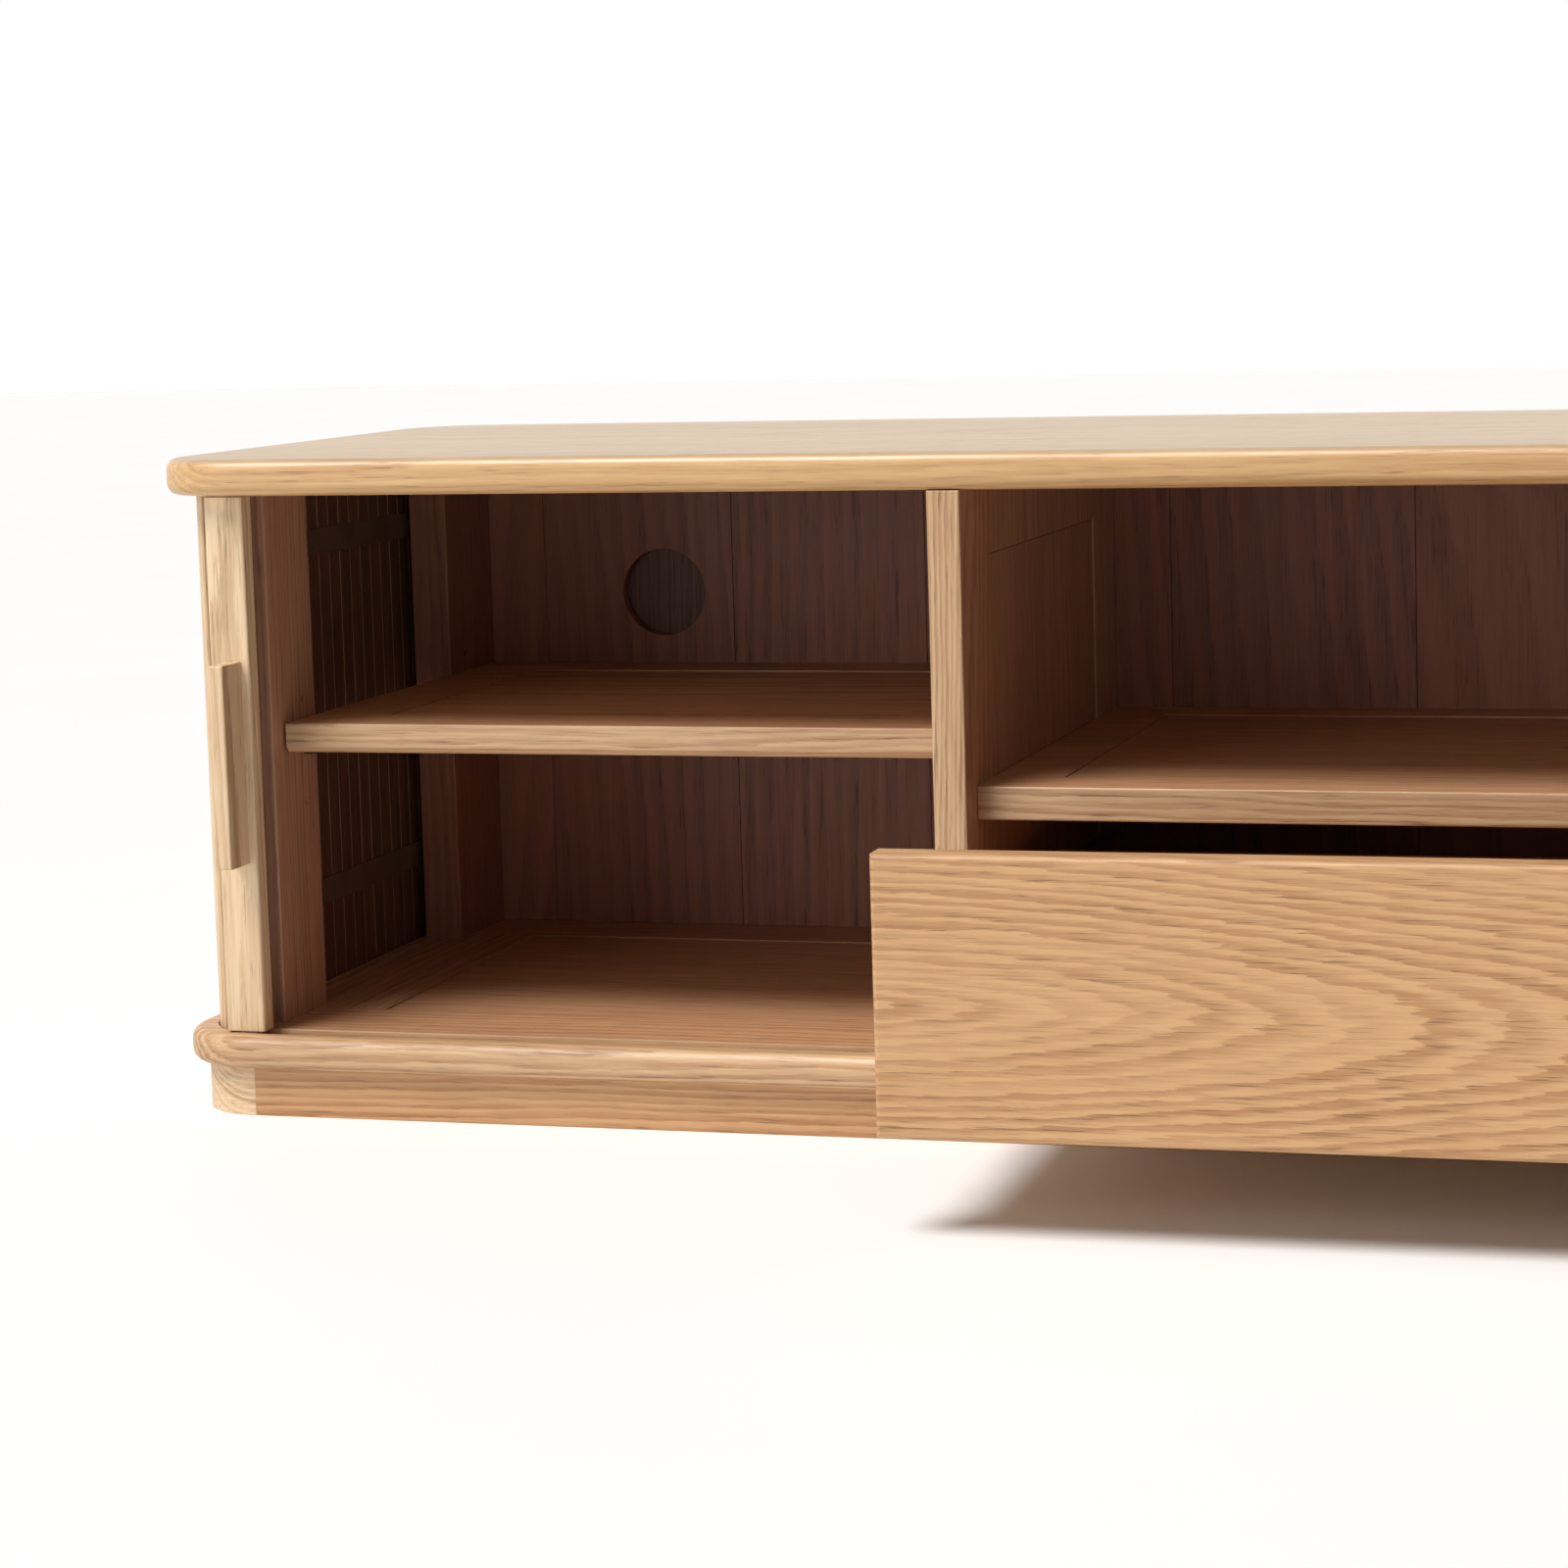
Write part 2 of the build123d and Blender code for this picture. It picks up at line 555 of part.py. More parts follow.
def drawer():
    """The drawer, in its place when it is shut."""
    front_y = DRAWER_FRONT_Y
    back_of_front = front_y + DRAWER_FRONT_THICKNESS
    box_back = back_of_front + DRAWER_BOX_DEPTH
    inner_x = DRAWER_BOX_X - DRAWER_WALL
    low = DRAWER_BOX_BOTTOM
    high = DRAWER_BOX_TOP
    face = block(
        -DRAWER_FRONT_X, DRAWER_FRONT_X, front_y, back_of_front, DRAWER_FRONT_BOTTOM, DRAWER_FRONT_TOP
    )
    face = front_eased(face, DRAWER_FRONT_RADIUS)
    pull = block(
        -PULL_LENGTH / 2,
        PULL_LENGTH / 2,
        front_y - PULL_PROJECTION,
        front_y,
        PULL_Z - PULL_WIDTH / 2,
        PULL_Z + PULL_WIDTH / 2,
    )
    pull = front_eased(pull, EASED)
    tongue_x = inner_x + DRAWER_BOTTOM_TONGUE
    tongue_y0 = back_of_front + DRAWER_WALL - DRAWER_BOTTOM_TONGUE
    tongue_y1 = box_back - DRAWER_WALL + DRAWER_BOTTOM_TONGUE
    z0 = low + DRAWER_BOTTOM_LIFT
    base = block(-tongue_x, tongue_x, tongue_y0, tongue_y1, z0, z0 + DRAWER_BOTTOM_THICKNESS)
    inner_face = back_of_front + DRAWER_WALL
    box_screws = [(x, z) for x in (-DRAWER_SCREW_X, DRAWER_SCREW_X) for z in DRAWER_SCREW_Z]
    fixings = [screw(x, inner_face, z, -BOX_SCREW_LENGTH, "y") for x, z in box_screws]
    fixings += [screw(x, inner_face, PULL_Z, -PULL_SCREW_LENGTH, "y") for x in (-PULL_SCREW_X, PULL_SCREW_X)]
    left_side = block(-DRAWER_BOX_X, -inner_x, back_of_front, box_back, low, high) - base
    inner_front = block(-inner_x, inner_x, back_of_front, inner_face, low, high)
    inner_back = block(-inner_x, inner_x, box_back - DRAWER_WALL, box_back, low, high)
    return {
        "drawer_front": [drilled(face, fixings)],
        "drawer_box_front": [drilled(inner_front, fixings) - base],
        "drawer_left_side": [left_side],
        "drawer_right_side": [mirrored(left_side)],
        "drawer_box_back": [inner_back - base],
        "drawer_bottom": [base],
        "drawer_pull": [drilled(pull, fixings)],
        "drawer_screws": fixings,
    }


def carcass():
    """Everything that stays still when the doors and the drawer move."""
    pegs = dowels()
    screws = plinth_screws()
    top = eased_board(TOP_UNDERSIDE, HEIGHT) - groove(TOP_UNDERSIDE, TOP_UNDERSIDE + GROOVE_DEPTH)
    nodes = {"top_panel": [drilled(top, pegs)], "carcass_dowels": pegs, "plinth_screws": screws}
    nodes.update(bottom_board(pegs + screws))
    nodes.update(plinth(screws))
    for name, shapes in end_compartment(pegs).items():
        nodes["left_" + name] = shapes
        nodes["right_" + name] = [mirrored(shape) for shape in shapes]
    shelf_lo = (-DIVIDER_INNER_X, CENTRE_SHELF_FRONT_Y, CENTRE_SHELF_TOP - CENTRE_SHELF_THICKNESS)
    shelf_hi = (DIVIDER_INNER_X, BACK_INNER_Y, CENTRE_SHELF_TOP)
    inside_lo = (shelf_lo[0] + CENTRE_SHELF_MEMBER, shelf_lo[1] + CENTRE_SHELF_MEMBER, 0)
    inside_hi = (shelf_hi[0] - CENTRE_SHELF_MEMBER, shelf_hi[1] - CENTRE_SHELF_MEMBER, 0)
    frame, panel = frame_and_panel(shelf_lo, shelf_hi, inside_lo, inside_hi, 2)
    nodes["centre_shelf_frame"] = [front_eased(frame, EASED)]
    nodes["centre_shelf_panel"] = [panel]
    joints_x = [CENTRE_BACK_FIRST_JOINT_X + i * CENTRE_BACK_BOARD_WIDTH for i in range(CENTRE_BACK_JOINTS)]
    nodes["centre_back_panel"] = boards([-DIVIDER_INNER_X] + joints_x + [DIVIDER_INNER_X], None)
    nodes["runner_cabinet_members"] = runners(CABINET_MEMBER, 0)
    return nodes


def moving_parts():
    """The doors' leading slats, the runs of slats that follow them, and the drawer."""
    left_x = LEAD_WIDTH / 2 - LEAD_OPEN_X
    right_x = -left_x - CURTAIN_TRAVEL
    nodes = leading_slat("left", left_x, left_x + HANDLE_OFFSET)
    nodes.update(leading_slat("right", right_x, right_x - HANDLE_OFFSET))
    nodes["left_back_run"] = slats(SIDE_SLATS, RUN_SLATS) + run_canvas(1)
    front_run = slats(-RUN_SLATS, RUN_SLATS) + run_canvas(-1)
    nodes["right_front_run"] = [mirrored(shape) for shape in front_run]
    for name, shapes in drawer().items():
        nodes[name] = [Pos(0, -DRAWER_OUT, 0) * shape for shape in shapes]
    nodes["runner_middle_members"] = runners(MIDDLE_MEMBER, DRAWER_OUT / 2)
    nodes["runner_drawer_members"] = runners(DRAWER_MEMBER, DRAWER_OUT)
    return nodes


os.makedirs("parts", exist_ok=True)
for node, shapes in {**carcass(), **moving_parts()}.items():
    solids = [solid for shape in shapes for solid in shape.solids()]
    export_step(Compound(children=solids) if len(solids) > 1 else solids[0], "parts/" + node + ".step")
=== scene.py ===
import json
import math

import bpy
import numpy as np
from mathutils import Matrix, Vector

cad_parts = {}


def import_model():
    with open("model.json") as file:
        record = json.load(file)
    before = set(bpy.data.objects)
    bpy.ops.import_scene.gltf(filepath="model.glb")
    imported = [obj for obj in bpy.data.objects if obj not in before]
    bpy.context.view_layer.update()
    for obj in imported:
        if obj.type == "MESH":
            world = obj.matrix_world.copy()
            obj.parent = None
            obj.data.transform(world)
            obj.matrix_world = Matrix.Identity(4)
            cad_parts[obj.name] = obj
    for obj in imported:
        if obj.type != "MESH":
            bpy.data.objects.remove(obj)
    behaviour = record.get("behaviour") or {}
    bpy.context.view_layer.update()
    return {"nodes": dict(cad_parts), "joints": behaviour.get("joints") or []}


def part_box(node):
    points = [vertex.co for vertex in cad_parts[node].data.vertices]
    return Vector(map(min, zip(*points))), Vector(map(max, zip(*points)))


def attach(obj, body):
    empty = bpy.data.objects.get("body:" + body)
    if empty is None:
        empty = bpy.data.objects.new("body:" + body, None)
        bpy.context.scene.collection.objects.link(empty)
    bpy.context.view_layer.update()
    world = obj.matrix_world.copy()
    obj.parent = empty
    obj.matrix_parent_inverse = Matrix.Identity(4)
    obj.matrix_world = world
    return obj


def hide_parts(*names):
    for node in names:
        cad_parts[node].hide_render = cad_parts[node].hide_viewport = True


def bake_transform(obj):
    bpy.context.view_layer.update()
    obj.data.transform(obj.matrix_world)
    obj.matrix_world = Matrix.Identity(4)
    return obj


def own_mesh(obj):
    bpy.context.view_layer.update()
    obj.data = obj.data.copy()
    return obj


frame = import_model()

# Metres, in the row frame: X along the cabinet to the right, Y to the back, Z up.
MM = 0.001

# The curtains. The straight runs of slats are built here, to the section and spacing of the CAD slats of the
# sides but with narrower gaps, because light would come through to the inside.
TRAVEL = {j["name"]: j for j in frame["joints"]}["left_door_slide"]["range_m"][1]
SLAT_THICKNESS = 12 * MM
SLAT_CHAMFER = 1.8 * MM
SLAT_GAP = 0.1 * MM
RUN_SLATS = 26
SIDE_SLATS = 25
SLAT_PITCH = (TRAVEL - 0.5 * MM) / RUN_SLATS
# Along the canvas from the front tangent point to the first slat of the sides.
CURTAIN_START = 23.7 * MM
CANVAS_RADIUS = 32 * MM
CANVAS_THICKNESS = 0.8 * MM
CANVAS_BANDS = ((100 * MM, 117 * MM), (328 * MM, 345 * MM))
SIDE_LOW, SIDE_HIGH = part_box("left_side_slats")
CANVAS_X = -SIDE_LOW.x - SLAT_THICKNESS
CANVAS_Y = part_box("left_back_run")[1].y - SLAT_THICKNESS
TANGENT_X = CANVAS_X - CANVAS_RADIUS
TANGENT_Y = CANVAS_Y - CANVAS_RADIUS
SLAT_LOW, SLAT_HIGH = SIDE_LOW.z, SIDE_HIGH.z

# Where each run of slats folds away: a thin stack inside the open door's leading slat, or at the end of the
# groove by the divider.
FOLD = 1.0 * MM
FRONT_FOLD_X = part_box("left_leading_slat")[0].x + 1.5 * MM
BACK_FOLD_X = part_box("right_divider_frame")[1].x + 3.0 * MM

# Camera
CAMERA_PLACE = Vector((0.042, -2.261, 0.505))
CAMERA_YAW = math.radians(15.0)
CAMERA_PITCH = math.radians(6.1)
CAMERA_ROLL = math.radians(-1.44)
CAMERA_LENS = 85.6
CAMERA_SENSOR = 36.0
CAMERA_SHIFT = (-0.10, -0.077)

FLOOR_HALF = 14.0


def srgb(red, green, blue):
    """A linear colour from display values of 0 to 255."""
    values = [v / 255 for v in (red, green, blue)]
    linear = [v / 12.92 if v <= 0.04045 else ((v + 0.055) / 1.055) ** 2.4 for v in values]
    return (*linear, 1.0)


def scaled(colour, factor):
    """A colour multiplied by a factor, kept at or below white."""
    return tuple(min(1.0, factor * v) for v in colour[:3]) + (1.0,)


# ---------------------------------------------------------------- node trees


class Tree:
    """Adds nodes to a material's tree and links them, so that a material reads as a list of steps."""

    def __init__(self, name):
        self.material = bpy.data.materials.new(name)
        self.material.use_nodes = True
        self.nodes = self.material.node_tree.nodes
        self.links = self.material.node_tree.links
        self.shader = self.nodes["Principled BSDF"]

    def put(self, socket, value):
        """Links a socket to another, or sets its value."""
        if isinstance(value, bpy.types.NodeSocket):
            self.links.new(value, socket)
        else:
            socket.default_value = value

    def math(self, operation, a, b=0.0, clamp=False):
        node = self.nodes.new("ShaderNodeMath")
        node.operation = operation
        node.use_clamp = clamp
        self.put(node.inputs[0], a)
        self.put(node.inputs[1], b)
        return node.outputs[0]

    def vector(self, operation, a, b=(0.0, 0.0, 0.0)):
        node = self.nodes.new("ShaderNodeVectorMath")
        node.operation = operation
        self.put(node.inputs[0], a)
        self.put(node.inputs[1], b)
        return node.outputs["Value" if operation in ("DOT_PRODUCT", "LENGTH") else "Vector"]

    def split(self, value):
        node = self.nodes.new("ShaderNodeSeparateXYZ")
        self.put(node.inputs[0], value)
        return list(node.outputs)

    def join(self, x, y, z):
        node = self.nodes.new("ShaderNodeCombineXYZ")
        for socket, value in zip(node.inputs, (x, y, z)):
            self.put(socket, value)
        return node.outputs[0]

    def noise(self, place, scale, detail=2.0, rough=0.5):
        node = self.nodes.new("ShaderNodeTexNoise")
        self.put(node.inputs["Vector"], self.vector("MULTIPLY", place, scale))
        self.put(node.inputs["Scale"], 1.0)
        self.put(node.inputs["Detail"], detail)
        self.put(node.inputs["Roughness"], rough)
        return node.outputs["Fac"]

    def span(self, value, low, high, to_low=0.0, to_high=1.0, smooth=True):
        """Maps low..high to to_low..to_high, clamped."""
        node = self.nodes.new("ShaderNodeMapRange")
        node.interpolation_type = "SMOOTHSTEP" if smooth else "LINEAR"
        for socket, number in zip(node.inputs, (value, low, high, to_low, to_high)):
            self.put(socket, number)
        return node.outputs[0]

    def mix(self, share, a, b, blend="MIX"):
        node = self.nodes.new("ShaderNodeMix")
        node.data_type = "RGBA"
        node.blend_type = blend
        self.put(node.inputs["Factor"], share)
        self.put(node.inputs["A"], a)
        self.put(node.inputs["B"], b)
        return node.outputs["Result"]

    def attribute(self, name, output="Vector"):
        node = self.nodes.new("ShaderNodeAttribute")
        node.attribute_name = name
        return node.outputs[output]

    def place(self):
        return self.nodes.new("ShaderNodeTexCoord").outputs["Object"]

    def bump(self, height, distance, strength=1.0, normal=None):
        node = self.nodes.new("ShaderNodeBump")
        self.put(node.inputs["Height"], height)
        self.put(node.inputs["Distance"], distance)
        self.put(node.inputs["Strength"], strength)
        if normal is not None:
            self.put(node.inputs["Normal"], normal)
        return node.outputs[0]

    def bevel(self, radius):
        node = self.nodes.new("ShaderNodeBevel")
        node.samples = 4
        self.put(node.inputs["Radius"], radius)
        return node.outputs[0]

    def normal(self):
        return self.nodes.new("ShaderNodeNewGeometry").outputs["Normal"]

    def finish(self, **sockets):
        """Sets or links the shader's sockets, by name with spaces as underscores."""
        for name, value in sockets.items():
            self.put(self.shader.inputs[name.replace("_", " ")], value)
        return self.material


# ---------------------------------------------------------------- materials

# How each kind of cut shows its rings: where the pith lies across the board, the tilt of the board along the
# log, the width of a ring, how strongly the rings and the fibres show, and how ragged the rings' edges are.
STRAIGHT_CUT = dict(pith=(0.13, 0.21), tilt=0.004, ring=0.0034, figure=0.56, fibre=0.54, ragged=0.0030)
PLAIN_CUT = dict(pith=(0.03, 0.060), tilt=0.030, ring=0.0048, figure=0.62, fibre=0.48, ragged=0.0034)
TOP_CUT = dict(pith=(0.03, 0.020), tilt=0.020, ring=0.0046, figure=0.50, fibre=0.40, ragged=0.0034)
BACK_CUT = dict(pith=(0.05, 0.120), tilt=0.060, ring=0.0110, figure=0.46, fibre=0.26, ragged=0.0040)
# The drawer's front comes from one board beside the pith, so its rings make arches that point to the right.
DRAWER_CUT = dict(pith=(0.1405, -0.508), tilt=0.148, ring=0.0058, figure=0.60, fibre=0.36, ragged=0.0070)

# The part of a normal along an axis at which a face starts to count as looking that way, and counts wholly.
FACING = (0.35, 0.75)

# Where the rim of the bottom board starts and is complete, and the same for the straight runs of slats.
RIM_X = (0.950, 0.972)
RIM_Y = (0.186, 0.212)
STRAIGHT_RUN_Y = (0.192, 0.197)

PORE_COLOUR = (0.03, 0.015, 0.008, 1.0)
# Edges are made lighter by this much: partly wear, partly a painted highlight.
EDGE_WEAR_AND_HIGHLIGHT = (1.12, 1.12, 1.12, 1.0)

# Radians per metre, for threads 1.5 mm apart.
WEAVE = 4200.0

# The step in the log from one board of a glued panel to the next, in X and Y.
GLUED_JUMP = (0.731, 0.0837)


def ring_distance(t, q, across, deep, along, cut):
    """The distance from the pith, in rings, wandering and ragged as in a real log."""
    wander = t.noise(q, (1.3, 6.0, 6.0), 1.0)
    wave = t.noise(q, (4.0, 30.0, 30.0), 2.0)
    ragged = t.noise(q, (26.0, 300.0, 300.0), 3.0, 0.65)
    side_a = t.math("ADD", t.math("SUBTRACT", across, cut["pith"][0]), t.math("MULTIPLY", wander, 0.04))
    side_b = t.math("ADD", t.math("SUBTRACT", deep, cut["pith"][1]), t.math("MULTIPLY", along, cut["tilt"]))
    radius = t.vector("LENGTH", t.join(side_a, side_b, 0.0))
    radius = t.math("ADD", radius, t.math("MULTIPLY", wave, 0.010))
    radius = t.math("ADD", radius, t.math("MULTIPLY", ragged, cut["ragged"]))
    return t.math("DIVIDE", radius, cut["ring"])


# Masks that are 1 where the wood keeps its own colours and 0 where it takes painted shade; on the top the 0
# faces take a greyer painted sheen.
def both_faces(t):
    """1 on the front and rear edges of a piece; the other faces get painted shade."""
    _, y, _ = t.split(t.normal())
    return t.span(t.math("ABSOLUTE", y), *FACING)


def rear_face(t):
    """1 on surfaces that look to the back; the other faces get painted shade."""
    _, y, _ = t.split(t.normal())
    return t.span(y, *FACING)


def rim(t):
    """1 on the outer edges of the bottom board and the narrow ledge outside the curtains; the upward faces
    within get painted shade.
    """
    x, y, _ = t.split(t.place())
    _, _, up = t.split(t.normal())
    ends = t.span(t.math("ABSOLUTE", x), *RIM_X)
    long_sides = t.span(t.math("ABSOLUTE", y), *RIM_Y)
    return t.math("MAXIMUM", t.math("MAXIMUM", ends, long_sides), t.span(up, 0.55, 0.25))


def edges_and_underside(t):
    """1 on all but the surfaces that look up, which take a greyer painted sheen."""
    _, _, up = t.split(t.normal())
    return t.span(up, 0.9, 0.5)


def outer_side(t):
    """1 on outward faces of slats, and on the sides of slats in straight runs; inward faces get painted
    shade.
    """
    core = Vector((TANGENT_X, TANGENT_Y, 10.0))
    inner = t.vector("MINIMUM", t.vector("MAXIMUM", t.place(), -core), core)
    outward = t.vector("NORMALIZE", t.vector("SUBTRACT", t.place(), inner))
    facing = t.vector("DOT_PRODUCT", t.normal(), outward)
    _, y, _ = t.split(t.place())
    straight = t.span(t.math("ABSOLUTE", y), *STRAIGHT_RUN_Y)
    sides = t.math("MULTIPLY", t.span(facing, -0.75, -0.45), straight)
    return t.math("MAXIMUM", t.span(facing, -0.10, 0.10), sides)


def glued_boards(t, place, width):
    """Moves each board of a panel, glued up from boards of one width in Y, to its own place in the log."""
    _, y, _ = t.split(place)
    number = t.math("FLOOR", t.math("DIVIDE", y, width))
    jump = t.join(t.math("MULTIPLY", number, GLUED_JUMP[0]), t.math("MULTIPLY", number, GLUED_JUMP[1]), 0.0)
    tone = t.noise(t.join(number, 0.0, 0.0), (3.17, 1.0, 1.0), 0.0)
    return t.vector("ADD", place, jump), t.span(tone, 0.3, 0.7, -0.16, 0.16)


def oak(name, grain, light, dark, cut, roughness=0.48, coat=0.08, shifted=True, own_colour_mask=None, painted_shade_and_sheen=None,
        glued=None):
    """Lacquered oak with its grain along one axis: rings, fibres, pores, rays, and edges lightened partly by
    wear and partly as a painted highlight. Where the given mask is 0 the wood takes the second pair of
    colours: painted shade on faces within the cabinet and the curtains, and a greyer painted sheen on the
    top's upper face. A glued panel is made of boards of that width."""
    t = Tree(name)
    # Where the mask is 0, painted shade, and on the top a greyer painted sheen, take the place of the wood's
    # own colours.
    if own_colour_mask is not None:
        share = own_colour_mask(t)
        light = t.mix(share, painted_shade_and_sheen[0], light)
        dark = t.mix(share, painted_shade_and_sheen[1], dark)
    place = t.place()
    if shifted:
        place = t.vector("ADD", place, t.attribute("board_shift"))
    if glued is not None:
        place, board = glued_boards(t, place, glued)
    x, y, z = t.split(place)
    along, across, deep = {"x": (x, z, y), "y": (y, x, z), "z": (z, x, y)}[grain]
    q = t.join(along, across, deep)

    rings = ring_distance(t, q, across, deep, along, cut)
    phase = t.math("FRACT", rings)
    each_ring = t.join(t.math("FLOOR", rings), 0.0, 0.0)
    strength = t.span(t.noise(each_ring, (7.31, 1.0, 1.0), 0.0), 0.3, 0.7, 0.35, 1.0)
    early = t.math("MULTIPLY", t.span(phase, 0.0, 0.10), t.span(phase, 0.85, 0.25))
    early = t.math("MULTIPLY", early, strength)

    fibre = t.noise(q, (7.0, 260.0, 260.0), 5.0, 0.68)
    fine = t.noise(q, (22.0, 900.0, 900.0), 3.0, 0.6)
    porous = t.math("ADD", t.math("MULTIPLY", early, 0.8), 0.2)
    pores = t.math("MULTIPLY", t.span(t.noise(q, (42.0, 1100.0, 1100.0), 1.0), 0.57, 0.72), porous)
    rays = t.span(t.noise(q, (20.0, 150.0, 50.0), 2.0), 0.60, 0.78)
    cloud = t.noise(q, (1.8, 8.0, 8.0), 3.0)

    tone = t.math("MULTIPLY", early, cut["figure"])
    tone = t.math("ADD", tone, t.span(fibre, 0.25, 0.75, 0.0, cut["fibre"], smooth=False))
    tone = t.math("ADD", tone, t.span(fine, 0.3, 0.7, -0.14, 0.14, smooth=False))
    tone = t.math("ADD", tone, t.span(cloud, 0.3, 0.7, -0.14, 0.14, smooth=False))
    tone = t.math("ADD", tone, t.attribute("board_tone", "Fac"))
    if glued is not None:
        tone = t.math("ADD", tone, board)
    tone = t.math("SUBTRACT", tone, t.math("MULTIPLY", rays, 0.12), clamp=True)
    colour = t.mix(tone, light, dark)
    colour = t.mix(t.math("MULTIPLY", pores, 0.50), colour, PORE_COLOUR)

    # Edges are lightened in patches: partly wear, partly a painted highlight along the arrises.
    rounded = t.bevel(0.0010)
    edge = t.math("SUBTRACT", 1.0, t.vector("DOT_PRODUCT", rounded, t.normal()), clamp=True)
    patchy = t.span(t.noise(place, (45.0, 45.0, 45.0), 3.0), 0.35, 0.65, 0.05, 0.3)
    worn_and_highlit = t.mix(1.0, light, EDGE_WEAR_AND_HIGHLIGHT, "MULTIPLY")
    colour = t.mix(t.math("MULTIPLY", t.span(edge, 0.02, 0.22), patchy), colour, worn_and_highlit)

    relief = t.math("SUBTRACT", t.math("MULTIPLY", fibre, 0.6), pores)
    relief = t.math("SUBTRACT", relief, t.math("MULTIPLY", early, 0.2))
    gloss = t.span(fibre, 0.3, 0.7, roughness - 0.05, roughness + 0.07, smooth=False)
    return t.finish(
        Base_Color=colour,
        Roughness=t.math("ADD", gloss, t.math("MULTIPLY", pores, 0.18)),
        Normal=t.bump(relief, 0.00025, 0.5, rounded),
        Coat_Weight=coat,
        Coat_Roughness=0.25,
    )


def webbing():
    """Brown woven bands behind the slats."""
    t = Tree("woven_webbing")
    x, y, z = t.split(t.place())
    run = t.math("ADD", x, y)
    warp = t.math("SINE", t.math("MULTIPLY", run, WEAVE))
    weft = t.math("SINE", t.math("MULTIPLY", z, WEAVE))
    weave = t.math("MULTIPLY", warp, weft)
    dirt = t.noise(t.place(), (35.0, 35.0, 35.0), 3.0)
    colour = t.mix(t.span(weave, -1.0, 1.0), srgb(82, 56, 40), srgb(120, 87, 62))
    colour = t.mix(t.span(dirt, 0.4, 0.7, 0.0, 0.35), colour, srgb(70, 47, 34))
    return t.finish(
        Base_Color=colour,
        Roughness=t.span(dirt, 0.3, 0.7, 0.85, 0.95),
        Normal=t.bump(weave, 0.0002, 0.6),
    )


def metal(name, light, dark, roughness, scratch_along):
    """Plated metal with fine scratches, smudges and bright worn edges."""
    t = Tree(name)
    scales = {
        "x": (12.0, 900.0, 900.0),
        "y": (900.0, 12.0, 900.0),
        "all": (260.0, 260.0, 260.0),
    }[scratch_along]
    scratch = t.noise(t.place(), scales, 3.0, 0.6)
    smudge = t.noise(t.place(), (22.0, 22.0, 22.0), 4.0)
    colour = t.mix(t.span(smudge, 0.35, 0.7), light, dark)
    rounded = t.bevel(0.0005)
    edge = t.math("SUBTRACT", 1.0, t.vector("DOT_PRODUCT", rounded, t.normal()), clamp=True)
    colour = t.mix(t.span(edge, 0.02, 0.2, 0.0, 0.5), colour, scaled(light, 1.4))
    rough = t.math("ADD", t.span(scratch, 0.3, 0.7, roughness - 0.08, roughness + 0.08),
                   t.span(smudge, 0.4, 0.7, 0.0, 0.12))
    return t.finish(
        Base_Color=colour,
        Metallic=1.0,
        Roughness=rough,
        Normal=t.bump(scratch, 0.00006, 0.5, rounded),
    )


def nylon():
    """Off-white moulded nylon."""
    t = Tree("moulded_nylon")
    grain = t.noise(t.place(), (900.0, 900.0, 900.0), 2.0)
    stain = t.noise(t.place(), (60.0, 60.0, 60.0), 3.0)
    colour = t.mix(t.span(stain, 0.4, 0.7), srgb(214, 209, 196), srgb(186, 178, 160))
    return t.finish(
        Base_Color=colour,
        Roughness=t.span(grain, 0.3, 0.7, 0.42, 0.55),
        Normal=t.bump(grain, 0.00005, 0.5, t.bevel(0.0004)),
    )


PALE = (srgb(235, 208, 171), srgb(184, 147, 106))
GOLDEN = (srgb(220, 180, 128), srgb(178, 130, 80))
TAN = (srgb(206, 162, 115), srgb(158, 107, 65))
EDGE = (srgb(214, 178, 138), srgb(162, 118, 79))
# A greyer painted sheen for the upper face of the top.
TOP_PAINTED_SHEEN = (srgb(196, 166, 126), srgb(170, 138, 98))
# Painted shade for faces within the cabinet and the curtains, darkest on the back, the rear posts and the
# inward faces of the slats.
SIDE_PAINTED_SHADE = (srgb(190, 143, 114), srgb(150, 106, 81))
SHELF_PAINTED_SHADE = (srgb(202, 152, 111), srgb(154, 108, 76))
BACK_PAINTED_SHADE = (srgb(158, 101, 73), srgb(110, 66, 46))
SLAT_PAINTED_SHADE = (srgb(112, 72, 50), srgb(78, 46, 31))
REAR_POST_PAINTED_SHADE = (srgb(159, 105, 77), srgb(128, 79, 56))

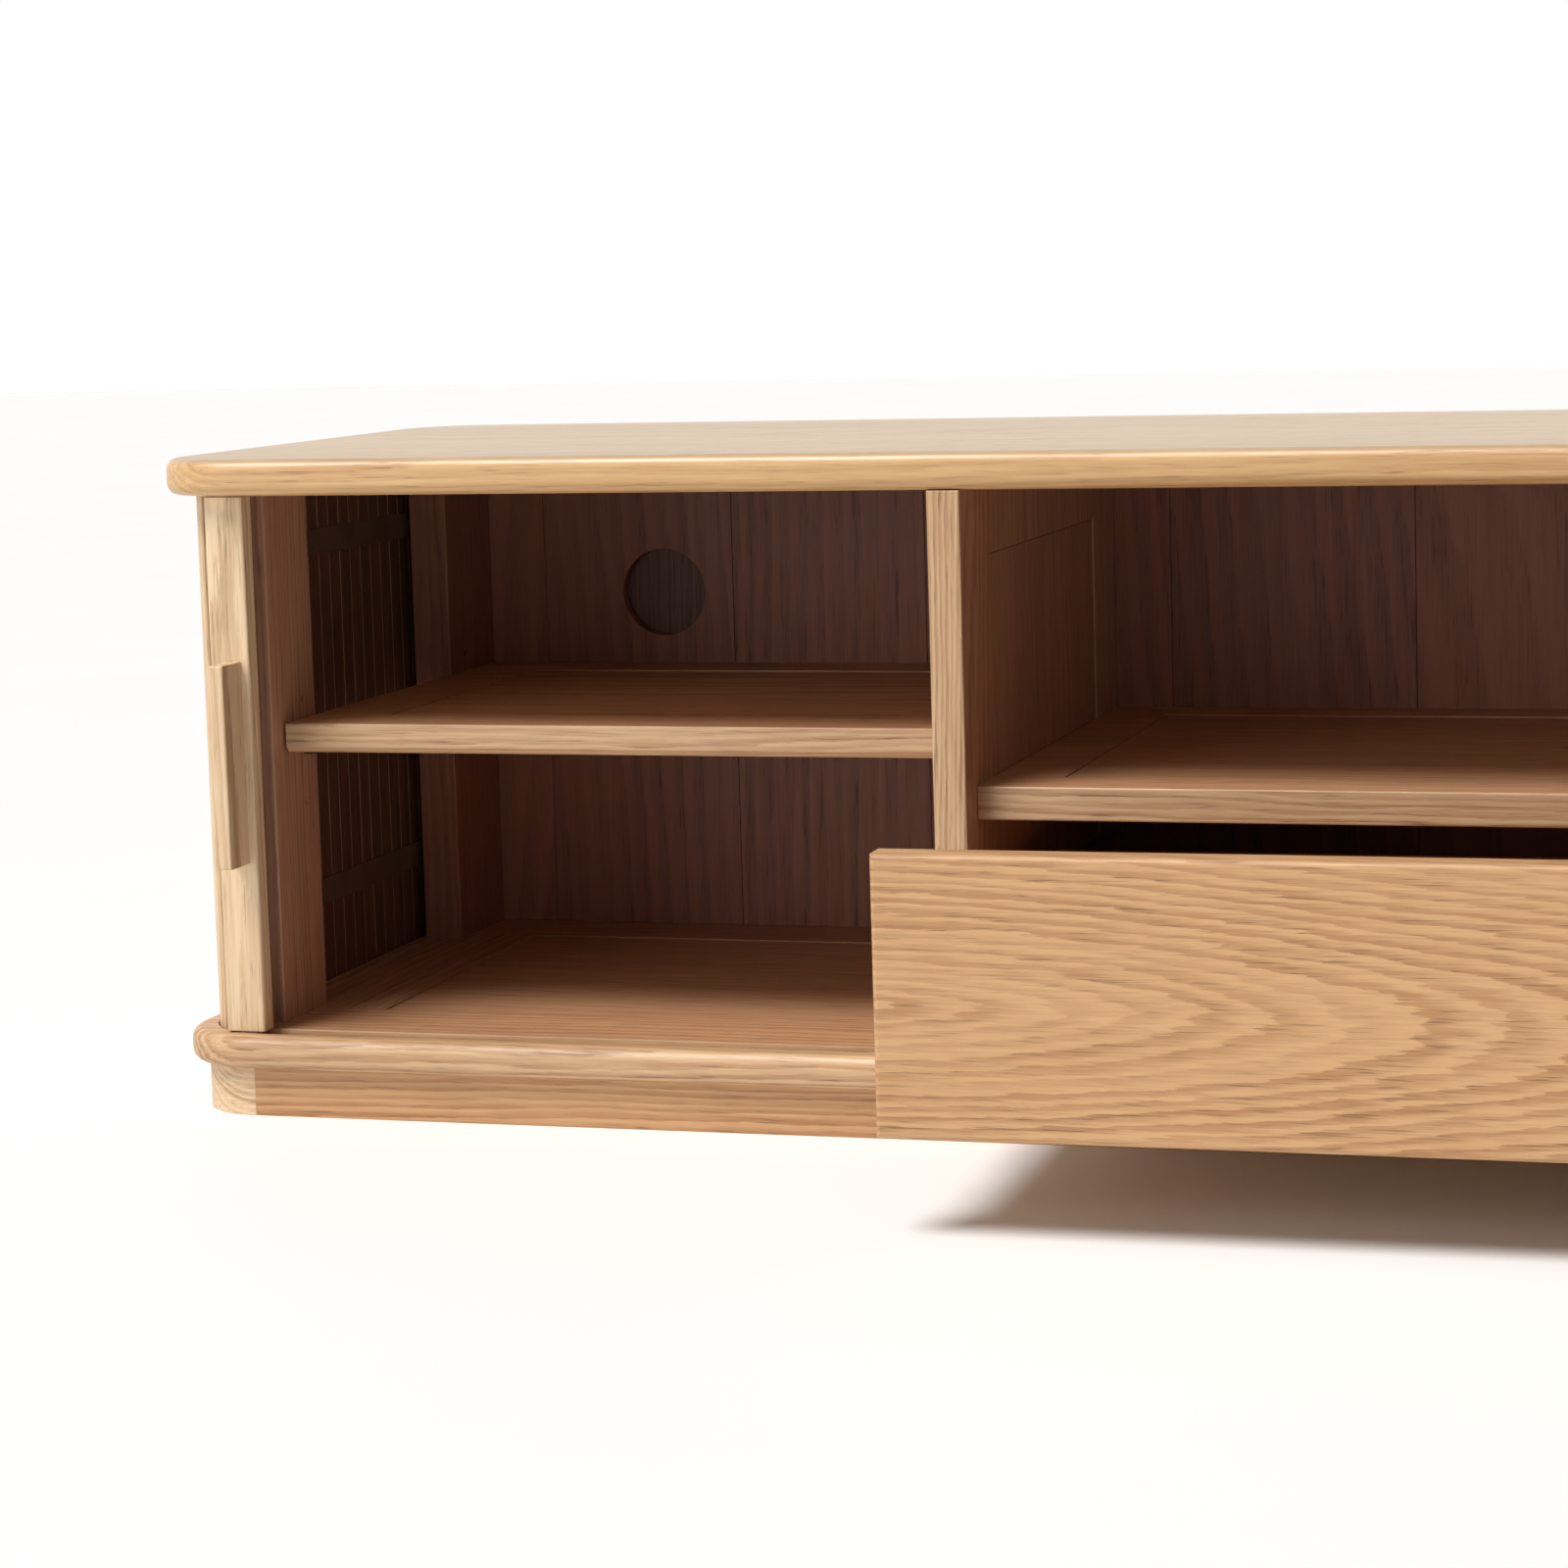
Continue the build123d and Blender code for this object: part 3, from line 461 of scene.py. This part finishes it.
OAKS = {
    # The top's upper face takes the greyer painted sheen; its edges and underside keep the wood's own
    # colours.
    "top": oak("oak_top", "x", *GOLDEN, TOP_CUT, roughness=0.34, shifted=False, own_colour_mask=edges_and_underside,
               painted_shade_and_sheen=TOP_PAINTED_SHEEN, glued=0.090),
    "rail": oak("oak_rail_x", "x", *EDGE, PLAIN_CUT, own_colour_mask=rim, painted_shade_and_sheen=SHELF_PAINTED_SHADE),
    "cross": oak("oak_rail_y", "y", *EDGE, STRAIGHT_CUT, own_colour_mask=rim, painted_shade_and_sheen=SHELF_PAINTED_SHADE),
    "post": oak("oak_post", "z", *EDGE, STRAIGHT_CUT, own_colour_mask=rear_face, painted_shade_and_sheen=SIDE_PAINTED_SHADE),
    # The rear posts are a copy of the posts with darker painted shade.
    "rear_post": oak("oak_rear_post_painted_shade", "z", *EDGE, STRAIGHT_CUT, own_colour_mask=rear_face, painted_shade_and_sheen=REAR_POST_PAINTED_SHADE),
    "divider": oak("oak_divider", "z", *EDGE, STRAIGHT_CUT, own_colour_mask=both_faces, painted_shade_and_sheen=SIDE_PAINTED_SHADE),
    "shelf": oak("oak_shelf", "x", *EDGE, STRAIGHT_CUT, own_colour_mask=both_faces, painted_shade_and_sheen=SHELF_PAINTED_SHADE),
    # The panels within the cabinet take painted shade all over.
    "panel_x": oak("oak_panel_x", "x", *SHELF_PAINTED_SHADE, PLAIN_CUT),
    "panel_z": oak("oak_panel_z", "z", *SIDE_PAINTED_SHADE, PLAIN_CUT),
    "back": oak("oak_back", "z", *EDGE, BACK_CUT, roughness=0.5, own_colour_mask=rear_face, painted_shade_and_sheen=BACK_PAINTED_SHADE),
    "slat": oak("oak_slat", "z", *PALE, STRAIGHT_CUT, own_colour_mask=outer_side, painted_shade_and_sheen=SLAT_PAINTED_SHADE),
    "lead": oak("oak_lead", "z", *PALE, PLAIN_CUT),
    "handle": oak("oak_handle", "z", *PALE, PLAIN_CUT),
    "drawer": oak("oak_drawer_front", "x", *TAN, DRAWER_CUT, shifted=False),
    "pull": oak("oak_pull", "x", *TAN, STRAIGHT_CUT),
    "box_x": oak("oak_box_x", "x", *TAN, STRAIGHT_CUT),
    "box_y": oak("oak_box_y", "y", *TAN, STRAIGHT_CUT),
    "plinth_x": oak("oak_plinth_x", "x", *TAN, PLAIN_CUT),
    "plinth_y": oak("oak_plinth_y", "y", *TAN, STRAIGHT_CUT),
    "plinth_block": oak("oak_plinth_block", "x", *PALE, STRAIGHT_CUT),
}
WEBBING = webbing()
STEEL = metal("zinc_plated_steel", srgb(178, 180, 178), srgb(140, 142, 142), 0.34, "all")
RUNNER_STEEL = metal("runner_steel", srgb(170, 172, 174), srgb(132, 134, 137), 0.36, "y")
BRASS = metal("aged_brass", srgb(150, 116, 62), srgb(98, 70, 36), 0.38, "x")
NYLON = nylon()

# The material of every CAD node, by the name without its side.
LOOKS = {
    "top_panel": OAKS["top"],
    "bottom_front_rail": OAKS["rail"],
    "bottom_rear_rail": OAKS["rail"],
    "bottom_end_members": OAKS["cross"],
    "bottom_cross_members": OAKS["cross"],
    "bottom_panel": OAKS["panel_x"],
    "plinth_corner_blocks": OAKS["plinth_block"],
    "plinth_end_rails": OAKS["plinth_y"],
    "plinth_front_rail": OAKS["plinth_x"],
    "plinth_rear_rail": OAKS["plinth_x"],
    "plinth_braces": OAKS["plinth_y"],
    "plinth_screws": STEEL,
    "carcass_dowels": OAKS["post"],
    "front_post": OAKS["post"],
    "rear_post": OAKS["rear_post"],
    "divider_frame": OAKS["divider"],
    "divider_panel": OAKS["panel_z"],
    "back_panel": OAKS["back"],
    "shelf_frame": OAKS["shelf"],
    "shelf_panel": OAKS["panel_x"],
    "shelf_pins": BRASS,
    "side_slats": OAKS["slat"],
    "canvas_bands": WEBBING,
    "leading_slat": OAKS["lead"],
    "door_handle": OAKS["handle"],
    "handle_screws": STEEL,
    "door_glides": NYLON,
    "drawer_front": OAKS["drawer"],
    "drawer_box_front": OAKS["box_x"],
    "drawer_left_side": OAKS["box_y"],
    "drawer_right_side": OAKS["box_y"],
    "drawer_box_back": OAKS["box_x"],
    "drawer_bottom": OAKS["box_x"],
    "drawer_pull": OAKS["pull"],
    "drawer_screws": STEEL,
    "runner_cabinet_members": RUNNER_STEEL,
    "runner_middle_members": RUNNER_STEEL,
    "runner_drawer_members": RUNNER_STEEL,
    "back_run": OAKS["slat"],
    "front_run": OAKS["slat"],
}
SIDES = ("left_", "right_", "centre_")

# How far from its place in the log a board may come from, and how much lighter or darker it may be.
BOARD_SHIFT_REACH = 3.0
BOARD_TONE_REACH = 0.10


def look_of(node):
    """The material of a CAD node."""
    if node in LOOKS:
        return LOOKS[node]
    for side in SIDES:
        if node.startswith(side):
            return LOOKS[node[len(side):]]
    raise KeyError(node)


def solids_of(mesh):
    """The number of the separate solid that each vertex belongs to, joined where corners meet."""
    count = len(mesh.vertices)
    places = np.zeros(count * 3, np.float32)
    mesh.vertices.foreach_get("co", places)
    _, same = np.unique(np.round(places.reshape(-1, 3), 6), axis=0, return_inverse=True)
    same = same.reshape(-1)
    edges = np.zeros(len(mesh.edges) * 2, np.int64)
    mesh.edges.foreach_get("vertices", edges)
    pairs = same[edges].reshape(-1, 2)
    label = np.arange(same.max() + 1)
    while True:
        low = np.minimum(label[pairs[:, 0]], label[pairs[:, 1]])
        new = label.copy()
        np.minimum.at(new, pairs[:, 0], low)
        np.minimum.at(new, pairs[:, 1], low)
        new = new[new]
        if (new == label).all():
            break
        label = new
    _, numbers = np.unique(label[same], return_inverse=True)
    return numbers.reshape(-1)


def vary_boards(obj, seed):
    """Gives each separate solid of a mesh its own place in the log and its own tone."""
    numbers = solids_of(obj.data)
    draw = np.random.default_rng(seed)
    shifts = draw.uniform(-BOARD_SHIFT_REACH, BOARD_SHIFT_REACH, (numbers.max() + 1, 3))
    tones = draw.uniform(-BOARD_TONE_REACH, BOARD_TONE_REACH, numbers.max() + 1)
    shift = obj.data.attributes.new("board_shift", "FLOAT_VECTOR", "POINT")
    shift.data.foreach_set("vector", shifts[numbers].astype(np.float32).ravel())
    tone = obj.data.attributes.new("board_tone", "FLOAT", "POINT")
    tone.data.foreach_set("value", tones[numbers].astype(np.float32))


def dress(obj, material, seed):
    """Gives a piece its material."""
    obj.data.materials.clear()
    obj.data.materials.append(material)
    if material in OAKS.values():
        vary_boards(obj, seed)


for seed, (name, node) in enumerate(sorted(frame["nodes"].items())):
    dress(node, look_of(name), seed)


# ---------------------------------------------------------------- curtain runs


def track_point(distance):
    """Place and heading on the left curtain's canvas, from the front tangent point round the left end."""
    arc = CANVAS_RADIUS * math.pi / 2
    side = 2 * TANGENT_Y
    if distance < 0:
        return -TANGENT_X - distance, -CANVAS_Y, math.pi
    if distance < arc:
        heading = math.pi - distance / CANVAS_RADIUS
        x = -TANGENT_X - CANVAS_RADIUS * math.sin(heading)
        return x, -TANGENT_Y + CANVAS_RADIUS * math.cos(heading), heading
    if distance < arc + side:
        return -CANVAS_X, distance - arc - TANGENT_Y, math.pi / 2
    if distance < 2 * arc + side:
        heading = math.pi / 2 - (distance - arc - side) / CANVAS_RADIUS
        x = -TANGENT_X - CANVAS_RADIUS * math.sin(heading)
        return x, TANGENT_Y + CANVAS_RADIUS * math.cos(heading), heading
    return -TANGENT_X + distance - 2 * arc - side, CANVAS_Y, 0.0


def plan_on_canvas(distance, points):
    """The plan of something on the canvas, from its points along the canvas and outwards."""
    x, y, heading = track_point(distance)
    c, s = math.cos(heading), math.sin(heading)
    return [(x + c * u - s * v, y + s * u + c * v) for u, v in points]


def slat_outline(distance):
    """The plan of one slat with its middle at this distance along the canvas."""
    half = (SLAT_PITCH - SLAT_GAP) / 2
    shoulder = SLAT_THICKNESS - SLAT_CHAMFER
    points = [
        (-half, 0), (half, 0), (half, shoulder), (half - SLAT_CHAMFER, SLAT_THICKNESS),
        (SLAT_CHAMFER - half, SLAT_THICKNESS), (-half, shoulder),
    ]
    return plan_on_canvas(distance, points)


def slat_outlines(first):
    """The plans of one run of slats of the left curtain. Slat 0 is the first one of the side."""
    return [slat_outline(CURTAIN_START + (first + i + 0.5) * SLAT_PITCH) for i in range(RUN_SLATS)]


def band_outline(x0, x1, y_sign):
    """The plan of the canvas behind a straight run, in short pieces so that it folds like the slats."""
    y0, y1 = sorted((y_sign * CANVAS_Y, y_sign * (CANVAS_Y - CANVAS_THICKNESS)))
    xs = [x0 + (x1 - x0) * i / RUN_SLATS for i in range(RUN_SLATS + 1)]
    return [(x, y0) for x in xs] + [(x, y1) for x in reversed(xs)]


def prisms(name, outlines, heights, mirror, material):
    """One mesh of upright prisms, from plans that turn left as they go, at each pair of heights. The length
    of its name seeds its boards."""
    vertices, faces = [], []
    for outline in outlines:
        if mirror:
            outline = [(-x, y) for x, y in reversed(outline)]
        for low, high in heights:
            start, count = len(vertices), len(outline)
            vertices += [(x, y, low) for x, y in outline] + [(x, y, high) for x, y in outline]
            faces.append([start + i for i in reversed(range(count))])
            faces.append([start + count + i for i in range(count)])
            for i in range(count):
                j = (i + 1) % count
                faces.append([start + i, start + j, start + count + j, start + count + i])
    mesh = bpy.data.meshes.new(name)
    mesh.from_pydata(vertices, [], faces)
    obj = bpy.data.objects.new(name, mesh)
    bpy.context.scene.collection.objects.link(obj)
    dress(obj, material, len(name))
    return obj


def fold(obj, start):
    for vertex in obj.data.vertices:
        share = (vertex.co.x - start) / (TRAVEL + FOLD)
        if share > 0:
            t = 0.5 - math.sin(math.asin(1 - 2 * min(share, 1.0)) / 3)
            vertex.co.x = start + t * FOLD


def run_of(side, row):
    """The slats and the canvas of one straight run, spread out."""
    if row == "front":
        first, y_sign = -RUN_SLATS, -1
        band_end = -TANGENT_X - (CURTAIN_START + first * SLAT_PITCH)
    else:
        first, y_sign = SIDE_SLATS, 1
        band_end = -TANGENT_X + RUN_SLATS * SLAT_PITCH
    mirror = side == "right"
    heights = [(SLAT_LOW, SLAT_HIGH)]
    slats = prisms(f"{side}_{row}_curtain", slat_outlines(first), heights, mirror, OAKS["slat"])
    band = band_outline(-TANGENT_X, band_end, y_sign)
    bands = prisms(f"{side}_{row}_webbing", [band], CANVAS_BANDS, mirror, WEBBING)
    return slats, bands


def flatten_with_door(side, row):
    """Makes a run that shows at rest, fixed to the carcass, in place of the CAD run that it hides."""
    for piece in run_of(side, row):
        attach(piece, "carcass")
        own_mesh(piece)
        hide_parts(f"{side}_{row}_run")


def unfold_with_door(side, row, start):
    """Makes a run that is folded at rest."""
    for piece in run_of(side, row):
        fold(piece, start)
        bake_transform(piece)


def curtain_runs():
    """The four straight runs of the two curtains."""
    flatten_with_door("left", "back")
    flatten_with_door("right", "front")
    unfold_with_door("left", "front", FRONT_FOLD_X)
    unfold_with_door("right", "back", BACK_FOLD_X)


def side_lips():
    """Thin lips over the joints between the slats of the sides, so that no light comes through them."""
    half_width, near, far = 1.3 * MM, 0.2 * MM, 1.4 * MM
    points = [(-half_width, near), (half_width, near), (half_width, far), (-half_width, far)]
    outlines = [plan_on_canvas(CURTAIN_START + i * SLAT_PITCH, points) for i in range(1, SIDE_SLATS)]
    heights = [(SLAT_LOW, SLAT_HIGH)]
    for side in ("left", "right"):
        lips = prisms(f"{side}_side_lips", outlines, heights, side == "right", OAKS["slat"])
        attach(lips, "carcass")


def back_tongues():
    """Loose tongues that close the joints between the boards of the backs."""
    half_width, half_thickness, end_gap = 4.0 * MM, 1.0 * MM, 1.0 * MM
    for side in ("left", "centre", "right"):
        node = f"{side}_back_panel"
        mesh = frame["nodes"][node].data
        numbers = solids_of(mesh)
        xs = np.array([vertex.co.x for vertex in mesh.vertices])
        boards = sorted((xs[numbers == n].min(), xs[numbers == n].max()) for n in range(numbers.max() + 1))
        low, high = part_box(node)
        middle_y = (low.y + high.y) / 2
        y0, y1 = middle_y - half_thickness, middle_y + half_thickness
        outlines = []
        for (_, right_edge), (left_edge, _) in zip(boards, boards[1:]):
            joint_x = (right_edge + left_edge) / 2
            x0, x1 = joint_x - half_width, joint_x + half_width
            outlines.append([(x0, y0), (x1, y0), (x1, y1), (x0, y1)])
        heights = [(low.z + end_gap, high.z - end_gap)]
        tongues = prisms(f"{side}_back_tongues", outlines, heights, False, OAKS["panel_z"])
        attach(tongues, "carcass")


curtain_runs()
side_lips()
back_tongues()


# ---------------------------------------------------------------- floor, light, camera


def floor():
    """A plain pale floor."""
    t = Tree("pale_floor")
    grain = t.noise(t.place(), (3.0, 3.0, 3.0), 3.0)
    t.finish(Base_Color=t.mix(grain, srgb(244, 244, 243), srgb(248, 248, 247)), Roughness=0.7)
    mesh = bpy.data.meshes.new("floor")
    corners = [(-1, -1), (1, -1), (1, 1), (-1, 1)]
    mesh.from_pydata([(FLOOR_HALF * x, FLOOR_HALF * y, 0) for x, y in corners], [], [(0, 1, 2, 3)])
    obj = bpy.data.objects.new("floor", mesh)
    mesh.materials.append(t.material)
    bpy.context.scene.collection.objects.link(obj)


def area_light(name, place, target, size, power, colour):
    """A soft square lamp that looks at a point."""
    lamp = bpy.data.lights.new(name, "AREA")
    lamp.shape = "RECTANGLE"
    lamp.size = size
    lamp.size_y = size
    lamp.energy = power
    lamp.color = colour
    obj = bpy.data.objects.new(name, lamp)
    obj.location = place
    obj.rotation_mode = "QUATERNION"
    obj.rotation_quaternion = (Vector(target) - Vector(place)).to_track_quat("-Z", "Y")
    bpy.context.scene.collection.objects.link(obj)


def sun(name, azimuth, elevation, softness, strength, colour):
    """An even light from far away. The azimuth turns from the front to the left, in degrees."""
    lamp = bpy.data.lights.new(name, "SUN")
    lamp.angle = math.radians(softness)
    lamp.energy = strength
    lamp.color = colour
    a, e = math.radians(azimuth), math.radians(elevation)
    towards = Vector((-math.sin(a) * math.cos(e), -math.cos(a) * math.cos(e), math.sin(e)))
    obj = bpy.data.objects.new(name, lamp)
    obj.rotation_mode = "QUATERNION"
    obj.rotation_quaternion = (-towards).to_track_quat("-Z", "Y")
    bpy.context.scene.collection.objects.link(obj)


def world(strength):
    """A surround that the camera and reflections see white, and that lights the object only a little."""
    made = bpy.data.worlds.new("surround")
    made.use_nodes = True
    nodes, links = made.node_tree.nodes, made.node_tree.links
    lamp = nodes["Background"]
    lamp.inputs["Color"].default_value = (1.0, 1.0, 1.0, 1.0)
    lamp.inputs["Strength"].default_value = strength
    seen = nodes.new("ShaderNodeBackground")
    seen.inputs["Color"].default_value = (1.0, 1.0, 1.0, 1.0)
    path = nodes.new("ShaderNodeLightPath")
    mix = nodes.new("ShaderNodeMixShader")
    bright = nodes.new("ShaderNodeMath")
    bright.operation = "MAXIMUM"
    links.new(path.outputs["Is Camera Ray"], bright.inputs[0])
    links.new(path.outputs["Is Glossy Ray"], bright.inputs[1])
    links.new(bright.outputs[0], mix.inputs[0])
    links.new(lamp.outputs[0], mix.inputs[1])
    links.new(seen.outputs[0], mix.inputs[2])
    links.new(mix.outputs[0], nodes["World Output"].inputs["Surface"])
    bpy.context.scene.world = made


def camera():
    """A camera that looks down a little from in front of the middle towards the left compartment."""
    forward = Vector((
        -math.sin(CAMERA_YAW) * math.cos(CAMERA_PITCH),
        math.cos(CAMERA_YAW) * math.cos(CAMERA_PITCH),
        -math.sin(CAMERA_PITCH),
    ))
    level = Vector((math.cos(CAMERA_YAW), math.sin(CAMERA_YAW), 0.0))
    upward = level.cross(forward)
    right = level * math.cos(CAMERA_ROLL) + upward * math.sin(CAMERA_ROLL)
    up = upward * math.cos(CAMERA_ROLL) - level * math.sin(CAMERA_ROLL)
    data = bpy.data.cameras.new("camera")
    data.lens = CAMERA_LENS
    data.sensor_width = CAMERA_SENSOR
    data.shift_x, data.shift_y = CAMERA_SHIFT
    obj = bpy.data.objects.new("camera", data)
    turn = Matrix((right, up, -forward)).transposed()
    obj.matrix_world = Matrix.Translation(CAMERA_PLACE) @ turn.to_4x4()
    bpy.context.scene.collection.objects.link(obj)
    bpy.context.scene.camera = obj


floor()
world(strength=0.15)
sun("key", azimuth=38.0, elevation=60.0, softness=28.0, strength=3.2, colour=(1.0, 0.99, 0.98))
area_light("fill", (-2.6, -3.4, 1.3), (-0.4, 0.0, 0.2), size=1.8, power=25.0, colour=(1.0, 0.98, 0.95))
camera()
bpy.context.scene.view_settings.view_transform = "Standard"
